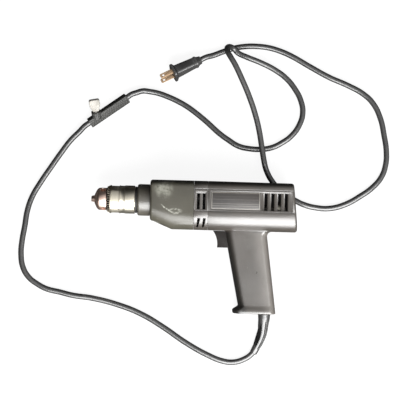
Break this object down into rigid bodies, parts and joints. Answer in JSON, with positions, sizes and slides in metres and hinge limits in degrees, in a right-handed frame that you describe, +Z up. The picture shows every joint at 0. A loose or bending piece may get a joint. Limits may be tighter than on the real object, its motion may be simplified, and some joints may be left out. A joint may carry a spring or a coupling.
{
  "type": "corded electric drill",
  "caption": "Corded pistol-grip drill with a keyed chuck, vented motor housing, trigger, and a laid-out cord with key holder and two-blade plug.",
  "frame": {"origin": "centre of the drill's own box (without its cord), on the surface it lies on", "axes": "+X along the spindle from the chuck to the rear, +Y away from the handle, +Z up, out of the drill's left side"},
  "size_m": [0.4841, 0.4262, 0.0653],
  "materials": {
    "casting": "satin",
    "shell": "satin",
    "collar": "satin",
    "bright_steel": "polished",
    "aged_steel": "satin",
    "dark_steel": "satin",
    "black_rubber": "satin",
    "black_plastic": "satin",
    "trigger_plastic": "satin",
    "brass": "satin",
    "copper": "satin",
    "lamination": "satin",
    "carbon": "matte",
    "white_plastic": "satin"
  },
  "bodies": {
    "drill": {"gear_housing": "casting", "nose_collar": "collar", "fan_housing": "shell", "left_shell": "shell", "right_shell": "shell", "label_plate": "black_plastic", "gear_plate": "casting", "case_screw_1": "dark_steel", "case_screw_2": "dark_steel", "case_screw_3": "dark_steel", "case_screw_4": "dark_steel", "shell_screw_1": "dark_steel", "shell_screw_2": "dark_steel", "shell_screw_3": "dark_steel", "shell_screw_4": "dark_steel", "shell_screw_5": "dark_steel", "shell_screw_6": "dark_steel", "spindle_bearing": "bright_steel", "spindle_bush": "brass", "motor_bearing_front": "bright_steel", "motor_bearing_rear": "bright_steel", "stator_core": "lamination", "field_coil_1": "copper", "field_coil_2": "copper", "brush_holder_1": "brass", "brush_holder_2": "brass", "brush_1": "carbon", "brush_2": "carbon", "brush_spring_1": "dark_steel", "brush_spring_2": "dark_steel", "switch_body": "black_plastic", "trigger_spring": "dark_steel", "cord_clamp": "black_plastic", "lead_live": "black_plastic", "lead_neutral": "white_plastic", "strain_relief": "black_rubber", "cord_to_key": "black_rubber", "cord_to_plug": "black_rubber", "key_holder": "black_rubber", "plug_body": "black_rubber", "plug_blade_1": "brass", "plug_blade_2": "brass"},
    "spindle": {"spindle": "dark_steel", "spindle_gear": "dark_steel", "chuck_screw": "dark_steel", "dust_washer": "black_rubber", "chuck_body": "aged_steel"},
    "sleeve": {"chuck_sleeve": "bright_steel"},
    "jaw_1": {"jaw_1": "aged_steel"},
    "jaw_2": {"jaw_2": "aged_steel"},
    "jaw_3": {"jaw_3": "aged_steel"},
    "layshaft": {"layshaft": "dark_steel", "layshaft_wheel": "dark_steel"},
    "armature": {"armature_shaft": "dark_steel", "armature_core": "lamination", "armature_windings": "copper", "commutator": "copper", "fan": "black_plastic"},
    "trigger": {"trigger": "trigger_plastic"},
    "chuck_key": {"chuck_key": "bright_steel"}
  },
  "joints": [
    {"name": "spindle_spin", "type": "hinge", "parent": "drill", "child": "spindle", "pos_m": [-0.05735, 0.05774, 0.0325], "axis": [1, 0, 0], "continuous": true},
    {"name": "layshaft_spin", "type": "hinge", "parent": "drill", "child": "layshaft", "pos_m": [-0.01735, 0.04633, 0.04371], "axis": [1, 0, 0], "continuous": true},
    {"name": "armature_spin", "type": "hinge", "parent": "drill", "child": "armature", "pos_m": [0.04265, 0.0498, 0.0316], "axis": [1, 0, 0], "continuous": true},
    {"name": "sleeve_turn", "type": "hinge", "parent": "spindle", "child": "sleeve", "pos_m": [-0.09235, 0.05774, 0.0325], "axis": [1, 0, 0], "range_deg": [0, 4932]},
    {"name": "jaw_1_slide", "type": "slide", "parent": "spindle", "child": "jaw_1", "axis": [0.9636, 0.2519, -0.0892], "range_m": [0, 0.0174]},
    {"name": "jaw_2_slide", "type": "slide", "parent": "spindle", "child": "jaw_2", "axis": [0.9636, -0.0487, 0.2628], "range_m": [0, 0.0174]},
    {"name": "jaw_3_slide", "type": "slide", "parent": "spindle", "child": "jaw_3", "axis": [0.9636, -0.2032, -0.1735], "range_m": [0, 0.0174]},
    {"name": "trigger_pull", "type": "slide", "parent": "drill", "child": "trigger", "axis": [1, 0, 0], "range_m": [0, 0.0065], "stiffness_N_per_m": 600, "springref_m": -0.004},
    {"name": "key_pull", "type": "slide", "parent": "drill", "child": "chuck_key", "axis": [-0.1514, 0.7733, 0.6157], "range_m": [0, 0.022]}
  ],
  "couplings": [
    {"joint": "layshaft_spin", "follows": "spindle_spin", "ratio": -3.4444},
    {"joint": "armature_spin", "follows": "spindle_spin", "ratio": 17.222},
    {"joint": "jaw_1_slide", "follows": "sleeve_turn", "m_per_rad": 0.00020213},
    {"joint": "jaw_2_slide", "follows": "sleeve_turn", "m_per_rad": 0.00020213},
    {"joint": "jaw_3_slide", "follows": "sleeve_turn", "m_per_rad": 0.00020213}
  ]
}
